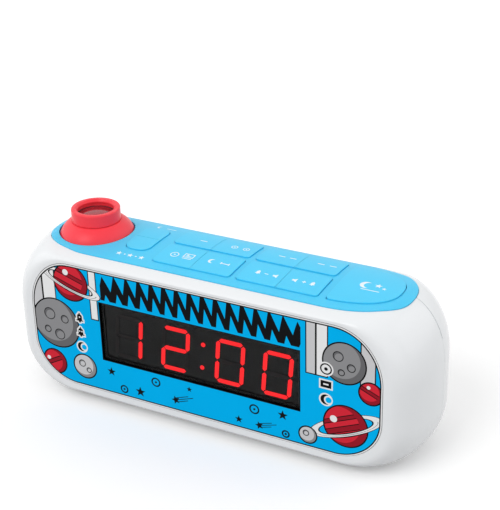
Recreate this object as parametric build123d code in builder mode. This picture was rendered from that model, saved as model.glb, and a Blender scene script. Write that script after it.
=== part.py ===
"""Projection alarm clock: a rounded two-part case with a printed front, a red
LED display, eleven top keys and a star projector with a focus ring.

Millimetres, +Z up. The clock faces -Y and its length lies along X. The origin
is on the surface that the feet stand on, under the middle of the case.
Depths are measured backwards from the flat front face of the case.
"""
from build123d import *
from math import cos, pi, radians, sin
import os

os.makedirs("parts", exist_ok=True)

# ---------------------------------------------------------------- case form
HALF_LENGTH = 112.0         # of the case at its widest
CASE_DEPTH = 64.0
WIDEST_DEPTH = 34.0         # where the case is widest and tallest
SEAM_DEPTH = 33.0           # front housing meets rear cover
WALL = 2.2
FRONT_WALL = 3.7            # front wall, behind the printed panel too
SEAM_GROOVE = 0.55
OVER = 1.0                  # how far a cut runs on past the face it opens

# half width, bottom, top, corner across, corner height at top and at bottom
FACE = (HALF_LENGTH - 14, 6.7, 79.8, 26.0, 30.0, 24.0)
WIDEST = (HALF_LENGTH, 1.5, 83.7, 22.0, 32.0, 26.0)
BACK = (HALF_LENGTH - 25, 9.0, 74.0, 20.0, 26.0, 22.0)
FACE_TO_WIDEST = (0, 14, 30, 50, 70)        # degrees round the quarter ellipse
WIDEST_TO_BACK = (90, 70, 50, 32, 16, 0)
QUARTER = 90                # degrees of each corner arc

# ---------------------------------------------------------------- top deck
DECK_HALF_LENGTH = HALF_LENGTH - 15
DECK_HALF_DEPTH = 24.2
DECK_END = 38.4             # length of each rounded end
DECK_ROUNDNESS = 2.45       # exponent of the rounded ends, 2 is an ellipse
DECK_DEPTH = 31.2           # its long centre line
DECK_PROUD = 0.4            # stands above the case
DECK_SUNK = 1.8             # and reaches this far into it
DECK_GAP = 0.15
LEDGE_WIDTH = 2.5
LEDGE_THICK = 2.2

# ---------------------------------------------------------------- keys
KEY_PROUD = 0.95            # above the case, so 0.55 above the deck
KEY_MARGIN = 5.6            # deck edge to key edge
KEY_LENGTH = 20.9
KEY_GAP = 0.3               # key to deck
PAIR_GAP = 0.2              # key to its neighbour
KEY_CORNER = 1.8
KEY_TRAVEL = 0.6
ROW_GAP = 2.4               # web between the front and the back row
ROW_LINE = DECK_DEPTH + 0.8     # middle of that web
PAIR_LEFTS = (-30.2, 15.2)  # left edges of the two pairs in each row
SNOOZE_LEFT = DECK_HALF_LENGTH - 35.6
PROJECTION_LEFT = -50.9
PROJECTION_RIGHT = -37.3
PROJECTION_HALF = 12.9      # half the length of the oval pair
PROJECTION_CORNER = 5.0
FLANGE_LIP = 0.6
FLANGE_TOP = 79.6
FLANGE_THICK = 1.0
STEM_RADIUS = 1.6
STEM_GAP = 0.3              # stem to switch with the key pressed
CLIP_PLACES = (-10.0, 38.0)
CLIP_WIDTH = 6.0
CLIP_THICK = 0.9
CLIP_BARB = 0.8
CLIP_ENDS = (76.6, 75.2)    # height of the clip ends, front and back
CLIP_ROOT_DROP = 2.4        # crown of the case to the clip roots, inside the deck plate

# ---------------------------------------------------------------- printed front
PANEL = (HALF_LENGTH - 16.8, 10.0, 78.4, 24.0, 27.0, 23.0)
PANEL_THICK = 1.5
PANEL_GAP = 0.15
WINDOW_LENGTH = 108.7
WINDOW_HEIGHT = 32.0
WINDOW_MIDDLE = 45.0
WINDOW_GAP = 0.1
WINDOW_RAIL = 1.6           # ledge that the window is bonded to

# ---------------------------------------------------------------- display
DIGIT_HEIGHT = 24.2
DIGIT_WIDTH = 15.4
DIGIT_MIDDLE = WINDOW_MIDDLE - 0.9
DIGIT_LEAN = 0.085          # sideways for each millimetre up
STROKE = 2.0
STROKE_GAP = 0.9
DIGIT_PLACES = (-39.3, -12.8, 17.0, 42.1)
COLON_PLACE = 2.3
COLON_RADIUS = 1.1
COLON_SPREAD = 6.4
DIGIT_RELIEF = 0.3
DISPLAY_GAP = 0.3
DISPLAY_THICK = 8.0
DISPLAY_BEHIND_WINDOW = 0.5
SHOWN = ("bc", "abged", "abcdef", "abcdef")     # one, two, zero, zero
# stroke: half widths across and half heights up from the digit's middle
STROKES = {"a": (0, 1), "b": (1, 0.5), "c": (1, -0.5), "d": (0, -1),
           "e": (-1, -0.5), "f": (-1, 0.5), "g": (0, 0)}

# ---------------------------------------------------------------- projector
LAMP_X = 22.5 - DECK_HALF_LENGTH
LAMP_DEPTH = DECK_DEPTH + 0.7
WELL_RADIUS = 19.3
WELL_WALL = 1.0
WELL_FLOOR = 82.0
WELL_THICK = 2.0
CONE_FOOT_RADIUS = 19.0
CONE_TOP_RADIUS = 12.9
CONE_TOP = 89.3
CONE_BULGE = 0.9
CONE_RIM = 0.3
CONE_WALL = 2.0
RING_RADIUS = 12.4
RING_TOP = 95.9
RING_GAP = 0.3
RING_EDGE = 0.7
RING_MOUTH = 10.1
RING_THROAT = 9.2
RING_FUNNEL = 1.1
RING_LIP = 0.6
SLEEVE_RADIUS = 11.2
SLEEVE_BOTTOM = 84.2
BARREL_RADIUS = 9.7
RUNNING_FIT = 0.05
BARREL_FIT = 0.1
BARREL_BOTTOM = 83.0
BARREL_CLEAR = 0.7          # barrel to ring lip with the lens wound right up
BARREL_WALL = 0.8
LENS_THICK = 2.0
LENS_DOME = 1.0
LENS_SHELF = 0.7
FOCUS_TRAVEL = 1.2
TUBE_RADIUS = 11.5
TUBE_WALL = 1.5
TUBE_BOTTOM = 63.0
TUBE_FLANGE = 16.0
TUBE_SHELF = 0.8
SLIDE_HEIGHT = 77.6
SLIDE_THICK = 0.6
STAR_RADIUS = 1.5
STAR_WAIST = 0.7            # radius between the points of a star
STAR_RING = 6.2
STAR_COUNT = 7
CONDENSER_HEIGHT = 71.0
CONDENSER_THICK = 2.0
CONDENSER_DOME = 2.2
LAMP_BOARD = 24.0
LED_RADIUS = 2.5
LED_HEIGHT = 3.0
BOARD_THICK = 1.6

# ---------------------------------------------------------------- boards
KEY_BOARD_TOP = 72.0
KEY_BOARD_LEFT = -53.0
KEY_BOARD_RIGHT = HALF_LENGTH - 22
KEY_BOARD_FRONT = 10.5
KEY_BOARD_BACK = CASE_DEPTH - 9.5
SWITCH_SIZE = 6.0
SWITCH_BODY = 3.5
SWITCH_TOP = 5.0
SHELF_PLACES = (-30.0, 40.0)
SHELF_WIDTH = 8.0
SHELF_THICK = 2.2
SHELF_FRONT_DEPTH = 17.0    # the front shelves reach back to here
SHELF_BACK_DEPTH = CASE_DEPTH - 16     # and the rear ones forward to here
SHELF_BOSS = 2.6
SHELF_BOSS_BOTTOM = 64.8
SHELF_BOSS_INSET = 3.0      # screw line to the shelf's free end
MAIN_BOARD_LENGTH = 2 * HALF_LENGTH - 83
MAIN_BOARD_BOTTOM = 17.0
MAIN_BOARD_TOP = 64.4
BOARD_BOSS = 2.9
BOARD_BOSS_X = MAIN_BOARD_LENGTH / 2 - 4
BOARD_BOSSES = ((-BOARD_BOSS_X, 20.9), (BOARD_BOSS_X, 20.9),
                (-BOARD_BOSS_X, 61.2), (BOARD_BOSS_X, 61.2))
PIN_SPACE = 1.2             # display back to main board
PIN_ROW = 52.0
PIN_ROW_RISE = 11.3         # pin rows above and below the display's middle
INDICATORS = ((-66.8, 49.7), (-66.8, 41.6), (-66.8, 33.2),
              (67.6, 55.0), (67.6, 46.9), (67.6, 38.8))
INDICATOR_RADIUS = 1.5
INDICATOR_GAP = 0.3
INDICATOR_SINK = 0.6        # lamp end behind the printed panel
RIBBON_HALF = 8.0
RIBBON_THICK = 0.4
RIBBON_BOTTOM = 56.0
LEAD_WIDTH = 4.0
LEAD_THICK = 0.6
LAMP_LEAD_X = LAMP_X + 7
LAMP_LEAD_Z = 54.0
LAMP_LEAD_DEPTH = LAMP_DEPTH - LAMP_BOARD / 2 + 3
# chips and capacitors on the back of the main board: x, z, size across, height
CHIPS = ((-20.0, 40.0, 14.0, 2.0), (16.0, 30.0, 10.0, 1.6), (-46.0, 30.0, 6.0, 2.4))
CAPACITORS = ((36.0, 28.0), (46.0, 28.0), (46.0, 50.0))
CAPACITOR_RADIUS = 4.0
CAPACITOR_HEIGHT = 12.0

# ---------------------------------------------------------------- back
DOOR_LENGTH = 54.0
DOOR_BOTTOM = 20.0
DOOR_TOP = 46.6
DOOR_THICK = 2.0
DOOR_GAP = 0.3
DOOR_PIN_RADIUS = 0.6
DOOR_PIN_LENGTH = 1.6
DOOR_PIN_FIT = 0.05
DOOR_FRAME = 1.8            # frame round the door
DOOR_FRAME_THICK = 4.5
CELL_LENGTH = 49.4          # room for two size AAA cells and their springs
CELL_HEIGHT = 22.4
CELL_DEPTH = 11.6
CELL_WALL = 1.4
CELL_PITCH = 11.0
SPRING_RADIUS = 3.2
SPRING_WIRE = 0.45
SPRING_PITCH = 0.8
SPRING_TURNS = 6
CONTACT = 8.0
CONTACT_THICK = 0.5
SPEAKER_X = HALF_LENGTH - 55
SPEAKER_Z = 43.0
SPEAKER_RADIUS = 20.0
SPEAKER_SEAT = 1.8          # ring round the speaker
SPEAKER_SEAT_HEIGHT = 5.0
SPEAKER_GAP = 0.15
BASKET_RADIUS = 12.5
BASKET_DEPTH = 10.5
SPEAKER_RIM = 2.0
SPEAKER_METAL = 1.2
PAPER_EDGE = 17.2
PAPER_APEX = 6.3            # behind the rim, where the paper cone meets the coil
PAPER_THICK = 1.0
VOICE_COIL = 5.5
DUST_CAP_RISE = 1.1
MAGNET_RADIUS = 11.0
MAGNET_THICK = 6.0
GRILLE_RADIUS = 16.5
SLOT_WIDTH = 2.0
SLOT_PITCH = 4.2
SLOT_COUNT = 7
JACK_Z = 26.0
DC_JACK_X = -44.0
AUX_JACK_X = -58.0
DC_BORE = 2.75
DC_BORE_LENGTH = 9.0
AUX_BORE = 1.8
AUX_BORE_LENGTH = 12.0
JACK_SIZE = 10.0
JACK_LENGTH = 13.5
DC_COLLAR = 4.2
AUX_COLLAR = 3.2
COLLAR_SINK = 0.2           # collar end below the back face
COLLAR_GAP = 0.05
DC_PIN = 0.95
DC_PIN_SINK = 1.0
JACK_BOARD_LEFT = -65.5
JACK_BOARD_RIGHT = -36.5
JACK_BOARD_FRONT = CASE_DEPTH - 17.5
PILLAR_RADIUS = 2.2
PILLARS = ((-61.0, CASE_DEPTH - 14), (-41.0, CASE_DEPTH - 14))
AERIAL_HOLE = 1.3
AERIAL_X = -67.0
AERIAL_Z = 38.0

# ---------------------------------------------------------------- fastening
SCREW_RADIUS = 1.4
SCREW_HEAD = 2.6
SCREW_HEAD_HEIGHT = 2.0
SCREW_LENGTH = 13.0
SCREW_CLEAR = 0.25
POST_RADIUS = 4.4
POST_WELL = 3.1
POST_END = 4.0              # solid end of the rear posts
SCREW_X = HALF_LENGTH - 36
CASE_SCREWS = ((-SCREW_X, 24.0), (SCREW_X, 24.0), (-SCREW_X, 56.0), (SCREW_X, 62.0))
BOARD_SCREW_RADIUS = 1.1
BOARD_SCREW_HEAD = 2.2
BOARD_SCREW_HEAD_HEIGHT = 1.4
BOARD_SCREW_LENGTH = 6.0
LIP_GAP = 0.15
LIP_THICK = 1.3
LIP_REACH = 3.0
LIP_TOP = 64.0

# ---------------------------------------------------------------- feet, aerial
FOOT_RADIUS = 5.5
FOOT_HEIGHT = 3.6
FOOT_EDGE = 0.6
FOOT_X = HALF_LENGTH - 38
FOOT_DEPTHS = (13.5, CASE_DEPTH - 16)
ROD_RADIUS = 4.0
ROD_LENGTH = 58.0
ROD_X = -34.0
ROD_Z = 55.0
ROD_DEPTH = CASE_DEPTH - 18
ROD_FIT = 0.05
COIL_X = -36.0
COIL_LENGTH = 22.0
COIL_THICK = 0.9
CLIP_XS = (-56.0, -11.0)
ROD_CLIP_THICK = 3.0
ROD_CLIP_WALL = 1.8


def y_at(depth):
    """World Y of a depth behind the front face."""
    return depth - CASE_DEPTH / 2


def upright(depth):
    """Plane across the clock at a depth, seen from the front."""
    return Plane(origin=(0, y_at(depth), 0), x_dir=(1, 0, 0), z_dir=(0, -1, 0))


def blend(start, end, share):
    """Section sizes part of the way from one section to another."""
    return [low + (high - low) * share for low, high in zip(start, end)]


def drawn_in(section, inset):
    """The same section with its outline drawn in by inset."""
    half, bottom, top, across, up, down = section
    return half - inset, bottom + inset, top - inset, across - inset, up - inset, down - inset


def outline(half, bottom, top, across, up, down):
    """Closed outline: straight sides joined by quarter ellipses."""
    flat = half - across
    Line((-flat, bottom), (flat, bottom))
    EllipticalCenterArc((flat, bottom + down), across, down, start_angle=270, arc_size=QUARTER)
    Line((half, bottom + down), (half, top - up))
    EllipticalCenterArc((flat, top - up), across, up, start_angle=0, arc_size=QUARTER)
    Line((flat, top), (-flat, top))
    EllipticalCenterArc((-flat, top - up), across, up, start_angle=90, arc_size=QUARTER)
    Line((-half, top - up), (-half, bottom + down))
    EllipticalCenterArc((-flat, bottom + down), across, down, start_angle=180, arc_size=QUARTER)


def case_form(inset, front_inset=None):
    """Solid inside the case surface, drawn in by inset."""
    front = inset if front_inset is None else front_inset
    back = CASE_DEPTH - inset
    with BuildPart() as form:
        for angle in FACE_TO_WIDEST:
            depth = front + (WIDEST_DEPTH - front) * (1 - cos(radians(angle)))
            with BuildSketch(upright(depth)):
                with BuildLine():
                    outline(*drawn_in(blend(FACE, WIDEST, sin(radians(angle))), inset))
                make_face()
        for angle in WIDEST_TO_BACK:
            depth = WIDEST_DEPTH + (back - WIDEST_DEPTH) * cos(radians(angle))
            with BuildSketch(upright(depth)):
                with BuildLine():
                    outline(*drawn_in(blend(BACK, WIDEST, sin(radians(angle))), inset))
                make_face()
        loft()
    return form.part


def deck_outline(inset):
    """Stadium outline of the deck, drawn in by inset."""
    half_length = DECK_HALF_LENGTH - inset
    half_depth = DECK_HALF_DEPTH - inset
    end = DECK_END - inset
    straight = half_length - end
    middle = y_at(DECK_DEPTH)
    power = 2 / DECK_ROUNDNESS
    curve = []
    for step in range(-5, 6):
        angle = step * pi / 10
        along = end * abs(cos(angle)) ** power
        across = half_depth * abs(sin(angle)) ** power * (1 if step > 0 else -1)
        curve.append((straight + along, across))
    right = [(x, middle + y) for x, y in curve]
    left = [(-x, middle - y) for x, y in curve]
    Spline(*right, tangents=[(1, 0), (-1, 0)])
    Line(right[-1], left[0])
    Spline(*left, tangents=[(-1, 0), (1, 0)])
    Line(left[-1], right[0])


def prism(inset, bottom, top):
    """Upright solid on the deck outline."""
    with BuildPart() as block:
        with BuildSketch(Plane.XY.offset(bottom)):
            with BuildLine():
                deck_outline(inset)
            make_face()
        extrude(amount=top - bottom)
    return block.part


HIGH = WIDEST[2] + 5        # above the whole case
DECK_REACH = WIDEST[2] - 14     # below the whole deck
INTO_WALL = 0.5             # how far ribs and posts run into the wall they stand on
INSIDE_BACK = CASE_DEPTH - WALL
DECK_Y = y_at(DECK_DEPTH)
LAMP_Y = y_at(LAMP_DEPTH)


def slab(left, right, front, back, bottom, top, mode=Mode.ADD):
    """Box between two X values, two depths and two heights."""
    with Locations(((left + right) / 2, y_at((front + back) / 2), (bottom + top) / 2)):
        Box(right - left, back - front, top - bottom, mode=mode)


def bar(x, z, front, back, radius, mode=Mode.ADD):
    """Round bar along Y between two depths."""
    with Locations(Location((x, y_at((front + back) / 2), z), (90, 0, 0))):
        Cylinder(radius, back - front, mode=mode)


def column(x, depth, bottom, top, radius, mode=Mode.ADD):
    """Round column between two heights."""
    with Locations((x, y_at(depth), (bottom + top) / 2)):
        Cylinder(radius, top - bottom, mode=mode)


def finish(piece, name):
    """Label a finished piece and write it."""
    piece.part.label = name
    export_step(piece.part, f"parts/{name}.step")


case_surface = case_form(0)
case_inside = case_form(WALL, FRONT_WALL)
deck_surface = case_form(-DECK_PROUD)
deck_underside = case_form(DECK_SUNK)
ledge_underside = case_form(DECK_SUNK + LEDGE_THICK)
key_surface = case_form(-KEY_PROUD)
groove_floor = case_form(SEAM_GROOVE)
lip_outside = case_form(WALL + LIP_GAP)
lip_inside = case_form(WALL + LIP_GAP + LIP_THICK)
seam = upright(SEAM_DEPTH)

# ================================================================ key places
ROWS = (
    (DECK_DEPTH - DECK_HALF_DEPTH + KEY_MARGIN, ROW_LINE - ROW_GAP / 2,
     (("source_key", "sleep_key"), ("alarm_one_key", "alarm_two_key"))),
    (ROW_LINE + ROW_GAP / 2, DECK_DEPTH + DECK_HALF_DEPTH - KEY_MARGIN,
     (("mode_key", "time_key"), ("hour_key", "minute_key"))),
)

# name: left, right, front depth, back depth, side with rounded corners, corner radius
keys = {}
for row_front, row_back, pairs in ROWS:
    for pair_left, (first, second) in zip(PAIR_LEFTS, pairs):
        split_x = pair_left + KEY_LENGTH
        second_left = split_x + PAIR_GAP
        keys[first] = (pair_left, split_x, row_front, row_back, (Axis.X, 0), KEY_CORNER)
        keys[second] = (second_left, second_left + KEY_LENGTH, row_front, row_back,
                        (Axis.X, -1), KEY_CORNER)
keys["projection_key"] = (PROJECTION_LEFT, PROJECTION_RIGHT, ROW_LINE - PROJECTION_HALF,
                          ROW_LINE - PAIR_GAP / 2, (Axis.Y, 0), PROJECTION_CORNER)
keys["nap_key"] = (PROJECTION_LEFT, PROJECTION_RIGHT, ROW_LINE + PAIR_GAP / 2,
                   ROW_LINE + PROJECTION_HALF, (Axis.Y, -1), PROJECTION_CORNER)


def key_face(key, across=0.0, along=0.0, rounder=0.0):
    """Outline of an oblong key, grown sideways and lengthwise."""
    left, right, front, back, (axis, side), radius = key
    with BuildSketch() as face:
        with Locations(((left + right) / 2, y_at((front + back) / 2))):
            Rectangle(right - left + 2 * across, back - front + 2 * along)
        fillet(face.vertices().group_by(axis)[side], radius + rounder)
    return face.sketch


def snooze_face(grow=0.0):
    """Outline of the snooze key: the deck's end, cut square on the left."""
    left = SNOOZE_LEFT - grow
    with BuildSketch() as face:
        with BuildLine():
            deck_outline(KEY_MARGIN - grow)
        make_face()
        with Locations(((left + DECK_HALF_LENGTH) / 2, DECK_Y)):
            Rectangle(DECK_HALF_LENGTH - left, 2 * DECK_HALF_DEPTH, mode=Mode.INTERSECT)
        fillet(face.vertices().group_by(Axis.X)[0], KEY_CORNER)
    return face.sketch


def flange_face(key):
    """Key outline with its hidden lips, on the sides that no neighbour stands on."""
    axis = key[4][0]
    if axis == Axis.X:
        return key_face(key, along=FLANGE_LIP)
    return key_face(key, across=FLANGE_LIP)


key_tops = {name: key_face(key) for name, key in keys.items()}
key_flanges = {name: flange_face(key) for name, key in keys.items()}
key_holes = {name: key_face(key, KEY_GAP, KEY_GAP, KEY_GAP) for name, key in keys.items()}
key_middles = {name: ((key[0] + key[1]) / 2, (key[2] + key[3]) / 2)
               for name, key in keys.items()}
key_tops["snooze_key"] = snooze_face()
key_flanges["snooze_key"] = snooze_face(FLANGE_LIP)
key_holes["snooze_key"] = snooze_face(KEY_GAP)
key_middles["snooze_key"] = ((SNOOZE_LEFT + DECK_HALF_LENGTH - KEY_MARGIN) / 2, DECK_DEPTH)

# ================================================================ shell
# The ledge under the deck edge is what the cavity leaves behind.
with BuildPart() as ledge:
    add(prism(-LEDGE_WIDTH, DECK_REACH, HIGH))
    add(prism(LEDGE_WIDTH, DECK_REACH, HIGH), mode=Mode.SUBTRACT)
    add(ledge_underside, mode=Mode.SUBTRACT)

with BuildPart() as cavity:
    add(case_inside)
    add(ledge.part, mode=Mode.SUBTRACT)

with BuildPart() as deck_pocket:
    add(prism(-DECK_GAP, DECK_REACH, HIGH))
    add(deck_underside, mode=Mode.SUBTRACT)

with BuildPart() as shell:
    add(case_surface)
    add(cavity.part, mode=Mode.SUBTRACT)
    add(deck_pocket.part, mode=Mode.SUBTRACT)
    add(prism(LEDGE_WIDTH, DECK_REACH, HIGH), mode=Mode.SUBTRACT)
    # room for the projector well
    column(LAMP_X, LAMP_DEPTH, WELL_FLOOR - WELL_THICK - RING_GAP, HIGH,
           WELL_RADIUS + WELL_WALL + RING_GAP, Mode.SUBTRACT)
    # pockets for the feet
    for foot_depth in FOOT_DEPTHS:
        for foot_x in (-FOOT_X, FOOT_X):
            column(foot_x, foot_depth, -OVER, FOOT_HEIGHT, FOOT_RADIUS, Mode.SUBTRACT)

# ================================================================ front housing
DISPLAY_FRONT = PANEL_THICK + DISPLAY_BEHIND_WINDOW
BOARD_FRONT = DISPLAY_FRONT + DISPLAY_THICK + PIN_SPACE
BOARD_BACK = BOARD_FRONT + BOARD_THICK
OPENING_LENGTH = WINDOW_LENGTH - 2 * WINDOW_RAIL
OPENING_HEIGHT = WINDOW_HEIGHT - 2 * WINDOW_RAIL
KEY_BOARD_BOTTOM = KEY_BOARD_TOP - BOARD_THICK
SHELF_BOTTOM = KEY_BOARD_BOTTOM - SHELF_THICK
FRONT_SCREW_DEPTH = SHELF_FRONT_DEPTH - SHELF_BOSS_INSET
BACK_SCREW_DEPTH = SHELF_BACK_DEPTH + SHELF_BOSS_INSET
BOARD_SCREW_END = KEY_BOARD_TOP - BOARD_SCREW_LENGTH
SCREW_HEAD_DEPTH = SEAM_DEPTH + POST_END
SCREW_TIP_DEPTH = SCREW_HEAD_DEPTH - SCREW_LENGTH

with BuildPart() as front_housing:
    add(shell.part)
    split(bisect_by=seam, keep=Keep.TOP)
    # recess for the printed panel, and the opening for the display
    with BuildSketch(upright(PANEL_THICK)):
        with BuildLine():
            outline(*drawn_in(PANEL, -PANEL_GAP))
        make_face()
    extrude(amount=PANEL_THICK, mode=Mode.SUBTRACT)
    slab(-OPENING_LENGTH / 2, OPENING_LENGTH / 2, 0, FRONT_WALL + OVER,
         WINDOW_MIDDLE - OPENING_HEIGHT / 2, WINDOW_MIDDLE + OPENING_HEIGHT / 2, Mode.SUBTRACT)
    for x, z in INDICATORS:
        bar(x, z, 0, FRONT_WALL + OVER, INDICATOR_RADIUS + INDICATOR_GAP, Mode.SUBTRACT)
    # posts for the case screws and the main board
    for x, z in CASE_SCREWS:
        bar(x, z, FRONT_WALL - INTO_WALL, SEAM_DEPTH, POST_RADIUS)
        bar(x, z, SCREW_TIP_DEPTH, SEAM_DEPTH, SCREW_RADIUS, Mode.SUBTRACT)
    for x, z in BOARD_BOSSES:
        bar(x, z, FRONT_WALL - INTO_WALL, BOARD_FRONT, BOARD_BOSS)
        bar(x, z, BOARD_BACK - BOARD_SCREW_LENGTH, BOARD_FRONT, BOARD_SCREW_RADIUS, Mode.SUBTRACT)
    # shelves that carry the key board
    for x in SHELF_PLACES:
        slab(x - SHELF_WIDTH / 2, x + SHELF_WIDTH / 2, FRONT_WALL - INTO_WALL,
             SHELF_FRONT_DEPTH, SHELF_BOTTOM, KEY_BOARD_BOTTOM)
        column(x, FRONT_SCREW_DEPTH, SHELF_BOSS_BOTTOM, KEY_BOARD_BOTTOM, SHELF_BOSS)
        column(x, FRONT_SCREW_DEPTH, BOARD_SCREW_END, KEY_BOARD_BOTTOM,
               BOARD_SCREW_RADIUS, Mode.SUBTRACT)
finish(front_housing, "front_housing")

# ================================================================ rear cover
DOOR_SEAT = CASE_DEPTH - DOOR_THICK - DOOR_GAP
DOOR_MIDDLE = (DOOR_BOTTOM + DOOR_TOP) / 2
DOOR_HALF = DOOR_LENGTH / 2
PIVOT_Z = DOOR_BOTTOM + DOOR_THICK / 2
PIVOT_DEPTH = CASE_DEPTH - DOOR_THICK / 2
PIN_END = DOOR_HALF + DOOR_PIN_LENGTH
FRAME_HALF = PIN_END + DOOR_FRAME
CELL_FLOOR = DOOR_SEAT - CELL_DEPTH
CELL_HALF = CELL_LENGTH / 2
JACK_BOARD_TOP = JACK_Z - JACK_SIZE / 2
SPEAKER_SEAT_RADIUS = SPEAKER_RADIUS + SPEAKER_GAP

with BuildPart() as rear_posts:
    for x, z in CASE_SCREWS:
        bar(x, z, SEAM_DEPTH, CASE_DEPTH, POST_RADIUS)
    for x, depth in PILLARS:
        column(x, depth, 0, JACK_BOARD_TOP - BOARD_THICK, PILLAR_RADIUS)
    add(case_surface, mode=Mode.INTERSECT)

with BuildPart() as seam_groove:
    slab(-WIDEST[0] - OVER, WIDEST[0] + OVER, SEAM_DEPTH - OVER, SEAM_DEPTH + SEAM_GROOVE, 0, HIGH)
    add(groove_floor, mode=Mode.SUBTRACT)

with BuildPart() as locating_lip:
    slab(-WIDEST[0], WIDEST[0], SEAM_DEPTH - LIP_REACH, SEAM_DEPTH, 0, LIP_TOP)
    add(lip_outside, mode=Mode.INTERSECT)
    slab(-WIDEST[0], WIDEST[0], SEAM_DEPTH, SEAM_DEPTH + LIP_REACH, 0, LIP_TOP)
    add(case_surface, mode=Mode.INTERSECT)
    add(lip_inside, mode=Mode.SUBTRACT)

with BuildPart() as rear_cover:
    add(shell.part)
    split(bisect_by=seam, keep=Keep.BOTTOM)
    add(seam_groove.part, mode=Mode.SUBTRACT)
    add(locating_lip.part)
    add(rear_posts.part)
    for x, z in CASE_SCREWS:
        bar(x, z, SCREW_HEAD_DEPTH, CASE_DEPTH + OVER, POST_WELL, Mode.SUBTRACT)
        bar(x, z, SEAM_DEPTH, SCREW_HEAD_DEPTH, SCREW_RADIUS + SCREW_CLEAR, Mode.SUBTRACT)
    # battery compartment, with the frame that the door sits in
    slab(-CELL_HALF - CELL_WALL, CELL_HALF + CELL_WALL, CELL_FLOOR - CELL_WALL, INSIDE_BACK,
         DOOR_MIDDLE - CELL_HEIGHT / 2 - CELL_WALL, DOOR_MIDDLE + CELL_HEIGHT / 2 + CELL_WALL)
    slab(-FRAME_HALF, FRAME_HALF, CASE_DEPTH - DOOR_FRAME_THICK, INSIDE_BACK,
         DOOR_BOTTOM - DOOR_GAP - DOOR_FRAME, DOOR_TOP + DOOR_GAP + DOOR_FRAME)
    slab(-DOOR_HALF - DOOR_GAP, DOOR_HALF + DOOR_GAP, DOOR_SEAT, CASE_DEPTH + OVER,
         DOOR_BOTTOM - DOOR_GAP, DOOR_TOP + DOOR_GAP, Mode.SUBTRACT)
    slab(-CELL_HALF, CELL_HALF, CELL_FLOOR, DOOR_SEAT + OVER,
         DOOR_MIDDLE - CELL_HEIGHT / 2, DOOR_MIDDLE + CELL_HEIGHT / 2, Mode.SUBTRACT)
    with Locations(Location((0, y_at(PIVOT_DEPTH), PIVOT_Z), (0, 90, 0))):
        Cylinder(DOOR_PIN_RADIUS + DOOR_PIN_FIT, 2 * PIN_END + DOOR_GAP, mode=Mode.SUBTRACT)
    # speaker seat and grille
    bar(SPEAKER_X, SPEAKER_Z, INSIDE_BACK - SPEAKER_SEAT_HEIGHT, INSIDE_BACK + INTO_WALL,
        SPEAKER_SEAT_RADIUS + SPEAKER_SEAT)
    bar(SPEAKER_X, SPEAKER_Z, INSIDE_BACK - SPEAKER_SEAT_HEIGHT, INSIDE_BACK,
        SPEAKER_SEAT_RADIUS, Mode.SUBTRACT)
    with BuildSketch(upright(CASE_DEPTH + OVER)):
        for slot in range(SLOT_COUNT):
            rise = (slot - (SLOT_COUNT - 1) / 2) * SLOT_PITCH
            reach = (GRILLE_RADIUS ** 2 - rise ** 2) ** 0.5
            with Locations((SPEAKER_X, SPEAKER_Z + rise)):
                SlotOverall(2 * reach, SLOT_WIDTH)
    extrude(amount=WALL + OVER, mode=Mode.SUBTRACT)
    # clips for the ferrite rod
    for x in CLIP_XS:
        slab(x - ROD_CLIP_THICK / 2, x + ROD_CLIP_THICK / 2,
             ROD_DEPTH - ROD_RADIUS - ROD_CLIP_WALL, INSIDE_BACK + INTO_WALL,
             ROD_Z - ROD_RADIUS - ROD_CLIP_WALL, ROD_Z + ROD_RADIUS + ROD_CLIP_WALL)
    with Locations(Location((ROD_X, y_at(ROD_DEPTH), ROD_Z), (0, 90, 0))):
        Cylinder(ROD_RADIUS + ROD_FIT, ROD_LENGTH, mode=Mode.SUBTRACT)
    # sockets and the hole for the aerial wire
    bar(DC_JACK_X, JACK_Z, INSIDE_BACK - OVER, CASE_DEPTH + OVER, DC_COLLAR + COLLAR_GAP, Mode.SUBTRACT)
    bar(AUX_JACK_X, JACK_Z, INSIDE_BACK - OVER, CASE_DEPTH + OVER, AUX_COLLAR + COLLAR_GAP, Mode.SUBTRACT)
    bar(AERIAL_X, AERIAL_Z, INSIDE_BACK - OVER, CASE_DEPTH + OVER, AERIAL_HOLE, Mode.SUBTRACT)
    # shelves that carry the key board
    for x in SHELF_PLACES:
        slab(x - SHELF_WIDTH / 2, x + SHELF_WIDTH / 2, SHELF_BACK_DEPTH,
             INSIDE_BACK + INTO_WALL, SHELF_BOTTOM, KEY_BOARD_BOTTOM)
        column(x, BACK_SCREW_DEPTH, SHELF_BOSS_BOTTOM, KEY_BOARD_BOTTOM, SHELF_BOSS)
        column(x, BACK_SCREW_DEPTH, BOARD_SCREW_END, KEY_BOARD_BOTTOM,
               BOARD_SCREW_RADIUS, Mode.SUBTRACT)
finish(rear_cover, "rear_cover")

# ================================================================ printed front
with BuildPart() as front_panel:
    with BuildSketch(upright(PANEL_THICK)):
        with BuildLine():
            outline(*PANEL)
        make_face()
        with Locations((0, WINDOW_MIDDLE)):
            Rectangle(WINDOW_LENGTH, WINDOW_HEIGHT, mode=Mode.SUBTRACT)
    extrude(amount=PANEL_THICK)
finish(front_panel, "front_panel")

with BuildPart() as display_window:
    with BuildSketch(upright(PANEL_THICK)):
        with Locations((0, WINDOW_MIDDLE)):
            Rectangle(WINDOW_LENGTH - 2 * WINDOW_GAP, WINDOW_HEIGHT - 2 * WINDOW_GAP)
    extrude(amount=PANEL_THICK)
finish(display_window, "display_window")

# ================================================================ display
DISPLAY_HALF = OPENING_LENGTH / 2 - DISPLAY_GAP
DISPLAY_RISE = OPENING_HEIGHT / 2 - DISPLAY_GAP

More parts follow.
